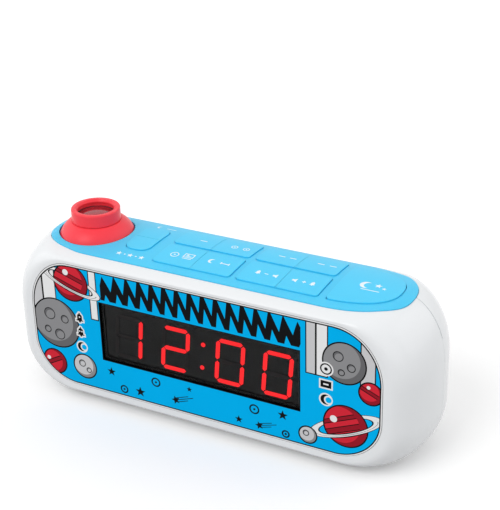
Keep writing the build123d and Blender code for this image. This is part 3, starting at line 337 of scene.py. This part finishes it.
def case_white():
    """White plastic, painted black behind the rim of the window."""
    finish = moulded("case_white", (0.850, 0.868, 0.886), 0.20, drift=0.015, edge=0.0004)
    x, depth, z = finish.parts()
    surround = drawn_on(finish, x, z).bar(*WINDOW_RIM, 0, WINDOW_MIDDLE)
    paint = inside(surround, 0.2) * finish.maths("LESS_THAN", depth, SEAM)
    finish.feed("Base Color", finish.mix(finish.colour, BLACK_PAINT, paint))


case_white()
print("case finished")

# %% [markdown]
# The deck and its keys are one soft-touch blue that lets a little light in, so
# the gaps between the keys stay blue. The keys are painted a touch brighter than
# the deck, a painted sheen. The keys carry small white marks. Each
# mark could be a thin mesh laid on its key, but the keys are curved and they
# move, so the marks are drawn in the colour of the key itself: seen from above,
# X and Y are all that a stencil needs, and the sides are left out by the height.

# %% Key marks
BLUE = (0.055, 0.610, 0.950)
WHITE_INK = (0.93, 0.95, 0.97, 1)
WHITE_INK_COVER = 0.9       # the blue shows through the rest
# painted sheen: the keys' blue is painted a touch brighter than the deck's
KEY_PAINTED_SHEEN = 1.04             # the keys are a touch brighter than the deck
KEY_MARKS_ABOVE = 82.0      # heights that the marks start from, in millimetres
DECK_MARKS_ABOVE = 80.5


def key_marks(top):
    """Distance to every mark on the keys: a sketch of what each one does."""
    source = top.at(-22.6, -10.4)
    player = top.at(-15.2, -9.2)
    sleep = top.at(-2.6, -9.4)
    timer = top.at(4.6, -9.6)
    early = top.at(22.8, -10.2)
    late = top.at(51.0, -10.4)
    quieter = top.at(32.0, -10.5, pi)
    louder = top.at(42.0, -10.5, pi)
    snooze = top.at(77.0, -2.2)
    marks = [
        source.hoop(2.0, 0.45), source.disc(0.5),
        abs(player.bar(5.0, 3.4)) - 0.22, player.bar(3.2, 0.5, 0, -0.6),
        player.bar(1.2, 1.0, -0.9, 0.6), player.bar(5.0, 0.45, 0, -2.9),
        sleep.crescent(1.9), timer.bar(4.4, 0.55), timer.bar(0.55, 1.8, -2.1, 0.2),
        timer.bar(0.55, 1.8, 2.1, 0.2),
        early.bell(1.9), top.bar(1.9, 0.5, 27.2, -10.4),
        quieter.wedge(1.5), quieter.bar(0.9, 1.4, 0.9, 0),
        late.bell(1.9), top.bar(1.9, 0.5, 46.6, -10.4), top.bar(0.5, 1.9, 46.6, -10.4),
        louder.wedge(1.5), louder.bar(0.9, 1.4, 0.9, 0),
        top.bar(3.8, 0.6, -17.0, 8.6),
        top.hoop(1.5, 0.4, 0.0, 9.0), top.disc(0.45, 0.0, 9.0),
        top.hoop(1.5, 0.4, 6.4, 9.0), top.disc(0.45, 6.4, 9.0),
        top.bar(3.4, 0.6, 25.6, 9.6), top.bar(3.4, 0.6, 31.4, 9.6),
        top.bar(3.4, 0.6, 46.0, 9.9), top.bar(3.4, 0.6, 52.2, 9.9),
        snooze.at(-3.2, 0.8).crescent(3.0), snooze.at(2.4, 2.0).star(1.9, 0.8),
        snooze.at(5.8, 0.2).star(1.2, 0.5), snooze.bar(9.0, 0.5, 0.2, -3.4),
    ]
    return top.nodes.least(*marks)


def deck_marks(top):
    """Distance to the marks on the deck, before and behind the oval pair."""
    front = top.at(-43.0, -18.6)
    rear = top.at(-42.4, 15.9)
    marks = [
        front.at(-6.4, 0).star(1.7, 0.7), front.disc(0.45, -3.1, 0), front.star(1.7, 0.7),
        front.disc(0.45, 3.2, 0), front.at(6.4, 0).star(1.7, 0.7),
        rear.at(-4.4, 0).crescent(1.4), rear.bar(5.6, 0.45, 2.4, 0),
    ]
    return top.nodes.least(*marks)


def soft_blue(slot, tone, marks, above):
    """Blue soft-touch plastic with white marks above a height."""
    finish = moulded(slot, tint(BLUE, tone), 0.40, drift=0.03, grain=0.000008)
    x, y, z = finish.parts()
    ink = inside(marks(drawn_on(finish, x, y)), 0.15)
    ink = ink * finish.maths("GREATER_THAN", z, above)
    finish.feed("Base Color", finish.mix(finish.colour, WHITE_INK, ink * WHITE_INK_COVER))
    finish.feed("Specular IOR Level", 0.5)
    finish.feed("Subsurface Weight", 0.25)
    finish.feed("Subsurface Radius", (0.2, 0.8, 1.0))
    finish.feed("Subsurface Scale", 0.0012)


# the keys get the same blue painted a touch brighter, a painted sheen
soft_blue("key_blue", KEY_PAINTED_SHEEN, key_marks, KEY_MARKS_ABOVE)
soft_blue("deck_blue", 1.0, deck_marks, DECK_MARKS_ABOVE)
print("deck and keys finished")

# %% [markdown]
# The projector is red plastic that lets a little light in, so its shadows stay
# warm. Its lens is red too and sits over a black carrier, which is why it looks
# dark with thin bright reflections. Glass over black could be faked with a dark
# gloss, but a real transmitting lens keeps its depth from every side.

# %% Projector
ACRYLIC = 1.49              # index of refraction


def lamp_red():
    """Satin red plastic that glows a little from inside."""
    finish = moulded("lamp_red", (0.970, 0.048, 0.070), 0.36, drift=0.02)
    finish.feed("Specular IOR Level", 0.3)
    finish.feed("Subsurface Weight", 0.12)
    finish.feed("Subsurface Radius", (0.9, 0.25, 0.2))
    finish.feed("Subsurface Scale", 0.0015)


def lens(slot, colour, clear):
    """A polished lens with the faintest of ripples."""
    finish = Finish(slot, Roughness=0.03, IOR=ACRYLIC, Transmission_Weight=clear)
    ripple = finish.noise(finish.place, 0.18)
    finish.feed("Base Color", finish.mix(tint(colour, 0.94), tint(colour, 1.04), ripple))
    finish.relief(ripple, 0.00001)


lamp_red()
lens("lens_red", (0.72, 0.050, 0.075), 0.65)
lens("lens_clear", (0.92, 0.94, 0.95), 0.97)
print("projector finished")

# %% [markdown]
# Behind the window is a black display block with twenty-eight strokes and a
# colon. The lit ones glow, and the unlit ones are a shade lighter than the
# block, as on a real one. The window is dark smoked acrylic that has to pass the
# glow and still show a shine. True refraction through a flat pane bends nothing
# that the eye notices and fills the shade behind it with noise, and so would a
# faint gloss on a see-through face. So the pane is a plain grey filter that lets
# half of the light straight through its two faces, and the shine comes from the
# polished block behind it. The ledge that holds the pane is painted black.

# %% Display
SMOKE_COVER = 0.30          # share of the light that each face of the pane stops
SMOKE_DRIFT = 0.01          # and how much that varies over the pane
LED_GLOW = 2.25
UNLIT = (0.036, 0.028, 0.028)
BLOCK = (0.022, 0.022, 0.022)


def smoked_window():
    """A tinted filter that is a touch uneven and has no gloss of its own."""
    finish = Finish("window_tint", Base_Color=grey(0.0), Specular_IOR_Level=0.0)
    wipe = finish.noise(finish.place, 0.02)
    finish.feed("Alpha", SMOKE_COVER + (wipe - 0.5) * SMOKE_DRIFT)


def glowing(slot, colour, strength):
    """A diffuser with a lamp behind it: even, and a touch brighter inside."""
    finish = Finish(slot, Roughness=0.5, Emission_Strength=strength)
    finish.material.cycles.emission_sampling = "NONE"
    even = finish.noise(finish.place, 0.5, 1.0)
    finish.feed("Base Color", finish.mix(tint(colour, 0.35), tint(colour, 0.45), even))
    finish.feed("Emission Color", finish.mix(tint(colour, 0.95), tint(colour, 1.0), even))


smoked_window()
glowing("led_red", (1.0, 0.022, 0.026), LED_GLOW)
for slot, shade in (("segment_dark", UNLIT), ("display_black", BLOCK)):
    moulded(slot, shade, 0.20, drift=0.1, grain=0.0000002, edge=0, Specular_IOR_Level=0.7)
print("display finished")

# %% [markdown]
# The front carries a bold print: sky blue, two reds, three greys and white, with
# heavy black outlines. It is built up as a sign painter would, from the ground
# to the top coat. Each motif is laid down twice, first in black and a little too
# large, then in its own ink, which leaves an even outline however the motif is
# shaped.

# %% Inks
SKY = (0.0, 0.480, 0.950, 1)
RED = (0.700, 0.025, 0.045, 1)
DEEP_RED = (0.330, 0.012, 0.024, 1)
STONE = (0.290, 0.290, 0.300, 1)
DARK_STONE = (0.150, 0.150, 0.158, 1)
PALE = (0.640, 0.640, 0.655, 1)
PAPER = (0.890, 0.895, 0.900, 1)
INK = (0.006, 0.006, 0.007, 1)
OUTLINE = 0.75              # width of the outlines, in millimetres


class Print:
    """Coats of ink laid one over another on one stencil."""

    def __init__(self, nodes, ground):
        self.nodes = nodes
        self.colour = ground

    def coat(self, distance, colour):
        """Fills a shape."""
        self.colour = self.nodes.mix(self.colour, colour, inside(distance))

    def motif(self, distance, colour, line=OUTLINE):
        """Fills a shape inside its black outline."""
        self.coat(distance - line, INK)
        self.coat(distance, colour)

    def within(self, shape, detail, colour):
        """Fills only the part of a detail that lies in the shape."""
        self.coat(self.nodes.most(shape, detail), colour)


print("inks ready")

# %% [markdown]
# The motifs are sketches from space, each a function that draws itself at any
# place and size. A curved shade along one side gives the round ones form. It is
# all that lies outside a second, smaller disc, set towards the light.

# %% Motifs
RING_REACH = 1.62           # a planet's ring, in radii of the planet
RING_WIDTH = 0.42
RING_FLAT = 0.26            # how far the ring is pressed flat
RING_OUTLINE = 0.6          # millimetres


def moon(art, centre, radius, fill, shade, craters):
    """A round stone moon: a shaded limb and rimmed craters."""
    disc = centre.disc(radius)
    art.motif(disc, fill)
    art.within(disc, -centre.disc(radius * 0.93, -radius * 0.16, radius * 0.14), shade)
    for u, v, size in craters:
        crater = centre.disc(size, u, v)
        lit = centre.disc(size, u + 0.25 * size, v - 0.3 * size)
        art.within(disc, crater - 0.45, INK)
        art.within(disc, crater, shade)
        art.within(disc, art.nodes.most(crater, lit), fill)


def planet(art, centre, radius, bands):
    """A red planet crossed by darker bands."""
    disc = centre.disc(radius)
    art.motif(disc, RED)
    for v, wide in bands:
        art.within(disc, centre.bar(3 * radius, wide + 0.9, 0, v), INK)
        art.within(disc, centre.bar(3 * radius, wide, 0, v), DEEP_RED)
    art.within(disc, -centre.disc(radius * 0.9, -radius * 0.2, radius * 0.12), DEEP_RED)
    art.within(disc, centre.disc(radius * 0.17, -radius * 0.42, radius * 0.45), PAPER)


def ring_line(centre, radius, width):
    """Distance to a planet's ring: a hoop pressed flat."""
    nodes = centre.nodes
    place = nodes.vector("MULTIPLY", centre.place, (1, 1 / RING_FLAT, 1))
    reach = nodes.vector("LENGTH", place, out=1)
    squeeze = abs(reach - radius) - width / 2
    tilt = abs(centre.u) * (1 / radius)
    ends = nodes.maths("MINIMUM", tilt * tilt, 1)
    return squeeze * (RING_FLAT + (1 - RING_FLAT) * ends)


def ringed_planet(art, centre, radius, bands):
    """A planet with a white ring that passes behind it and in front."""
    ring = ring_line(centre, radius * RING_REACH, radius * RING_WIDTH)
    groove = abs(ring_line(centre, radius * RING_REACH, 0)) - 0.2
    art.motif(ring, PAPER, RING_OUTLINE)
    planet(art, centre, radius, bands)
    for line, colour in ((ring - RING_OUTLINE, INK), (ring, PAPER), (groove, STONE)):
        art.coat(centre.nodes.most(line, centre.v), colour)


def comet(art, centre, size):
    """A star with a tail of three streaks."""
    for v, reach in ((0.45, 3.2), (0.0, 4.2), (-0.45, 2.8)):
        art.coat(centre.bar(reach * size, 0.16 * size, reach * size / 2, v * size), INK)
    art.coat(centre.star(size, 0.45 * size), INK)


print("motifs ready")

# %% [markdown]
# Across the top of the window runs a band of heavy black zigzag, tall as the
# space allows. A zigzag is a triangle wave: the wave's height at each point is
# compared with the point's own height, and the steep slope is allowed for so
# that the strokes come out as wide as they are meant to be.

# %% Zigzag band
def zigzag(field, left, right, low, high, pitch, width, lean):
    """Distance to a leaning zigzag line, taller in its middle than at its ends."""
    nodes = field.nodes
    middle = (left + right) / 2
    across = field.u + (field.v - low) * lean - left
    swing = nodes.maths("PINGPONG", across, pitch / 2) * (2 / pitch)
    bulge = 1 - nodes.maths("POWER", abs(field.u - middle) * (2 / (right - left)), 3) * 0.45
    tall = (high - low) * bulge
    line = low + swing * tall
    slope = 2 * (high - low) / pitch
    steep = (1 + slope ** 2) ** 0.5
    stroke = abs(field.v - line) * (1 / steep) - width / 2
    return nodes.most(stroke, field.u - right, left - field.u, low - field.v - width * 0.2)


print("zigzag ready")

# %% [markdown]
# The small marks beside the window are lit from behind by their own lamps: two
# bells and a moon at the left, three plain signs at the right. They are black
# with a white margin so that they read on any ink.

# %% Signs beside the window
SIGNS_LEFT = -66.8          # middles of the two columns, in millimetres
SIGNS_RIGHT = 67.6
SIGN_MARGIN = 0.75


def signs(art, field):
    """The lit pictograms beside the window."""
    nodes = field.nodes
    first, second, nap = [field.at(SIGNS_LEFT, v) for v in (49.7, 41.6, 33.2)]
    wave, chip, rest = [field.at(SIGNS_RIGHT, v) for v in (55.0, 46.9, 38.8)]
    together = nodes.least(
        first.bell(3.0), second.bell(3.0), nap.crescent(2.6),
        wave.disc(0.9), wave.hoop(2.6, 0.7), chip.bar(5.4, 3.6), rest.crescent(2.7))
    art.coat(together - SIGN_MARGIN, PAPER)
    art.coat(together, INK)
    dots = nodes.least(first.disc(0.42, 0, 0.4), second.disc(0.42, -0.7, 0.4),
                       second.disc(0.42, 0.7, 0.4), chip.bar(2.6, 0.8))
    art.coat(dots, PAPER)


print("signs ready")

# %% [markdown]
# The whole front comes together here, coat by coat. The tables hold places and
# sizes in millimetres: u to the right of the middle, v up from the floor, then
# a width or a radius. Along its edge, from the outside in, the panel has a grey
# line of painted shadow where it meets its recess, a bare white margin and a
# thin black line. A black rim runs round the window.

# %% Front print
PANEL_HALF, PANEL_LOW, PANEL_HIGH = 95.2, 10.0, 78.4
CORNER_ACROSS, CORNER_UP, CORNER_DOWN = 24.0, 27.0, 23.0
# the outermost band is painted shadow: a grey line where the panel meets its recess
EDGE_PAINTED_SHADOW = 0.15           # where each edge band starts, in from the outline
EDGE_MARGIN = 0.7
EDGE_LINE = 1.35
COLUMN_HEIGHT = 46.0
COLUMN_MIDDLE = 74.0
COLUMN_OUTLINE = 0.6
COLUMNS = ((-92.5, 8.0, PALE), (-84.0, 7.0, PAPER), (-57.5, 3.6, PAPER),
           (60.0, 4.2, PALE), (65.5, 5.0, PAPER), (88.0, 6.5, PALE))
STARS = ((-50.0, 23.0, 2.6), (-33.5, 15.5, 3.0), (-5.0, 24.6, 1.6),
         (22.0, 15.2, 2.2), (45.5, 24.0, 2.8))
TARGETS = ((-43.0, 14.6, 1.9), (-24.0, 23.6, 2.2), (30.5, 23.2, 2.3), (47.0, 14.0, 1.7))


def panel_edge(nodes, u, v):
    """Distance to the panel's outline, with its egg-shaped corners."""
    half, low, high = PANEL_HALF, PANEL_LOW, PANEL_HIGH
    across, up, down = CORNER_ACROSS, CORNER_UP, CORNER_DOWN
    beyond_u = nodes.maths("MAXIMUM", abs(u) - (half - across), 0) * (1 / across)
    over = nodes.maths("MAXIMUM", v - (high - up), 0) * (1 / up)
    under = nodes.maths("MAXIMUM", (low + down) - v, 0) * (1 / down)
    beyond_v = over + under
    corner = nodes.maths("SQRT", beyond_u * beyond_u + beyond_v * beyond_v)
    mean = (2 * across + up + down) / 4
    flat = nodes.most(abs(u) - half, v - high, low - v)
    in_corner = nodes.maths("GREATER_THAN", beyond_u * beyond_v, 0)
    return flat * (1 - in_corner) + (corner - 1) * mean * in_corner


def front_print():
    """The whole printed front: a flat film with hardly any shine."""
    finish = Finish("panel_print", Specular_IOR_Level=0.03)
    x, _, z = finish.parts()
    field = drawn_on(finish, x, z)
    cloud = finish.noise(finish.place, 0.05)
    art = Print(finish, finish.mix(tint(SKY, 0.96), tint(SKY, 1.03), cloud))
    # pale columns of light at both ends
    for u, wide, colour in COLUMNS:
        art.motif(field.bar(wide, COLUMN_HEIGHT, u, COLUMN_MIDDLE), colour, COLUMN_OUTLINE)
    # upper left: red planet; lower left: stone moon
    ringed_planet(art, field.at(-70.5, 68.5, -0.30), 9.6, ((3.4, 1.6), (-2.6, 2.2)))
    moon(art, field.at(-81.5, 43.5), 13.4, STONE, DARK_STONE,
         ((-3.6, 4.6, 2.9), (5.4, 3.2, 1.9), (-5.6, -4.6, 1.6), (1.6, -6.2, 2.6)))
    moon(art, field.at(-66.0, 22.0), 6.4, PALE, STONE, ((-1.6, 1.4, 1.6), (2.2, -1.8, 1.1)))
    planet(art, field.at(-84.5, 20.5, 0.5), 6.6, ((0.6, 1.7),))
    # right: stone moon above, ringed red planet below
    moon(art, field.at(76.5, 60.0), 10.2, STONE, DARK_STONE,
         ((-3.0, 3.0, 2.2), (3.4, -1.6, 1.7), (-1.4, -5.0, 1.3)))
    planet(art, field.at(89.5, 47.5, -0.4), 5.4, ((0.4, 1.4),))
    ringed_planet(art, field.at(77.5, 27.0, 0.42), 10.6, ((4.2, 1.6), (-1.2, 2.4)))
    moon(art, field.at(58.5, 17.0), 4.2, PALE, STONE, ((-1.0, 0.8, 1.2),))
    # black over the sky: zigzag above the window, small shapes below it
    art.coat(zigzag(field, left=-53.0, right=55.0, low=63.4, high=76.2,
                    pitch=7.0, width=2.7, lean=0.16), INK)
    for u, v, size in STARS:
        art.coat(field.at(u, v).star(size, 0.42 * size), INK)
    for u, v, radius in TARGETS:
        art.coat(field.hoop(radius, 0.8, u, v), INK)
        art.coat(field.disc(0.6, u, v), INK)
    comet(art, field.at(-13.0, 16.4, 0.35), 2.5)
    comet(art, field.at(33.0, 14.8, 0.30), 2.3)
    signs(art, field)
    # the edge of the panel with its grey line of painted shadow, and the black rims of the print
    # and of the window
    rim = panel_edge(finish, x, z)
    art.coat(-EDGE_LINE - rim, INK)
    art.coat(-EDGE_MARGIN - rim, PAPER)
    # painted shadow: a grey line along the outermost edge of the panel
    art.coat(-EDGE_PAINTED_SHADOW - rim, STONE)
    art.coat(field.bar(*WINDOW_RIM, 0, WINDOW_MIDDLE), INK)
    finish.feed("Base Color", art.colour)
    finish.feed("Roughness", 0.30 + cloud * 0.06)
    finish.relief(cloud, 0.000006)
    return finish


print("print nodes:", len(front_print().tree.nodes))

# %% [markdown]
# Everything else is seen from behind, through the grille and the sockets, or
# when the clock is taken apart: boards, wires, magnets, springs and rubber.
# Each finish is one that the real piece is made in, and metals get their look
# from a high Metallic value and brushed gloss rather than from a grey colour.

# %% Small plastics and rubber
moulded("part_black", (0.018, 0.018, 0.020), 0.42, drift=0.15)
moulded("cable_grey", (0.300, 0.300, 0.310), 0.5, drift=0.08)
moulded("foot_rubber", (0.030, 0.030, 0.032), 0.8, drift=0.15, grain=0.00002)
moulded("ferrite", (0.045, 0.043, 0.042), 0.6, drift=0.2, grain=0.00002)
moulded("speaker_paper", (0.040, 0.038, 0.036), 0.85, drift=0.2, grain=0.00004)
moulded("slide_film", (0.012, 0.012, 0.014), 0.25, drift=0.1, edge=0)
print("small plastics finished")

# %% [markdown]
# Metal is told from grey plastic by what it mirrors. Noise that is squeezed
# along one axis makes streaks, as drawing a wire or turning a screw does.

# %% Metals
def metal(slot, colour, roughness, stretch=(1, 1, 12)):
    """Drawn or turned metal: fine streaks in the gloss."""
    finish = Finish(slot, Metallic=1.0)
    place = finish.vector("MULTIPLY", finish.place, stretch)
    streak = finish.noise(place, 0.6, 3.0)
    finish.feed("Base Color", finish.mix(tint(colour, 0.88), tint(colour, 1.04), streak))
    finish.feed("Roughness", roughness + (streak - 0.5) * 0.16)
    finish.relief(streak, 0.000004, 0.0002)


metal("screw_steel", (0.62, 0.62, 0.63), 0.30)
metal("contact_steel", (0.70, 0.69, 0.66), 0.26)
metal("magnet_grey", (0.36, 0.36, 0.38), 0.42, (1, 12, 1))
metal("coil_copper", (0.72, 0.34, 0.16), 0.32, (30, 1, 1))
print("metals finished")

# %% [markdown]
# A circuit board is green varnish over copper. Copper lines raise the varnish a
# little and lighten it. A Voronoi distance measured in city blocks runs in
# straight slanting lines, which pass for traces at this size.

# %% Circuit boards
def circuit_green():
    """Solder mask over copper: traces a shade lighter than the board."""
    finish = Finish("board_green", Roughness=0.35)
    cell = finish.node("ShaderNodeTexVoronoi", {"distance": "MANHATTAN", "feature": "F1"},
                       {"Vector": finish.place, "Scale": 0.25})
    trace = inside(abs(cell - 0.5) - 0.08, 0.05)
    base = finish.mix((0.010, 0.090, 0.032, 1), (0.014, 0.110, 0.040, 1),
                      finish.noise(finish.place, 0.3))
    finish.feed("Base Color", finish.mix(base, (0.030, 0.190, 0.070, 1), trace))
    finish.relief(trace, 0.00002)


circuit_green()
print("boards finished")

# %% [markdown]
# The clock stands on a plain white floor. To the eye and in reflections the
# floor is whiter than it is as a light, so it stays white round the shadow and
# doesn't bleach the underside of the clock.

# %% Floor
FLOOR_SIZE = 6              # metres
FLOOR_BOUNCE = grey(0.42)   # what the floor gives back as light
FLOOR_LIFT = grey(0.12)     # and what it glows by when it is looked at


def looked_at(nodes):
    """1 for rays from the eye, or by way of a reflection or a lens, and 0 for light."""
    rays = nodes.tree.nodes.new("ShaderNodeLightPath")
    return nodes.most(*[Signal(nodes, rays.outputs[name])
                        for name in ("Is Camera Ray", "Is Glossy Ray", "Is Transmission Ray")])


bpy.ops.mesh.primitive_plane_add(size=FLOOR_SIZE)
floor = bpy.context.object
floor.name = "floor"
floor.data.materials.append(bpy.data.materials.new("floor_white"))
floor_look = Finish("floor_white", Roughness=0.9, Specular_IOR_Level=0.0, Emission_Strength=1.0)
floor_look.material.cycles.emission_sampling = "NONE"
seen = looked_at(floor_look)
floor_look.feed("Base Color", floor_look.mix(FLOOR_BOUNCE, grey(1.0), seen))
floor_look.feed("Emission Color", floor_look.mix(grey(0.0), FLOOR_LIFT, seen))
print("floor ready")

# %% [markdown]
# The light is an even white sky with four wide, soft lamps: one high in front,
# one at the left, and two at the right that keep the rounded end from going
# grey. The sky shows colours as they are mixed, and the lamps add the shading
# that gives the forms their volume. Like the floor, the sky is brighter to the
# eye than it is as a light, so the ground behind the clock is plain white.

# %% Sky and lamps
SKY_LIGHT = 0.70
# power, way towards the lamp, spread in radians
LAMPS = {"lamp_front_left": (0.85, (-0.24, -0.70, 0.68), 0.6),
         "lamp_left": (0.40, (-0.90, -0.25, 0.35), 1.0),
         "lamp_right_low": (0.42, (0.80, -0.60, 0.08), 1.0),
         "lamp_right_back": (0.48, (0.80, 0.50, 0.33), 1.0)}

world = bpy.data.worlds.new("studio")
bpy.context.scene.world = world
world.use_nodes = True
sky = Nodes(world.node_tree)
glow = sky.node("ShaderNodeBackground", {}, {"Color": grey(1.0), "Strength": SKY_LIGHT})
shown = sky.node("ShaderNodeBackground", {}, {"Color": grey(1.0), "Strength": 1.0})
sky.node("ShaderNodeOutputWorld", {}, {0: sky.node("ShaderNodeMixShader", {},
                                                   {0: looked_at(sky), 1: glow, 2: shown})})


def lamp(name, power, way, spread):
    """A far lamp, as wide in radians as its spread."""
    bpy.ops.object.light_add(type="SUN")
    light = bpy.context.object
    light.name = name
    light.data.energy = power
    light.data.angle = spread
    light.matrix_world = Vector(way).to_track_quat("Z", "Y").to_matrix().to_4x4()


for name, (power, way, spread) in LAMPS.items():
    lamp(name, power, way, spread)
bpy.context.scene.view_settings.view_transform = "Standard"
print("lamps:", len(LAMPS))
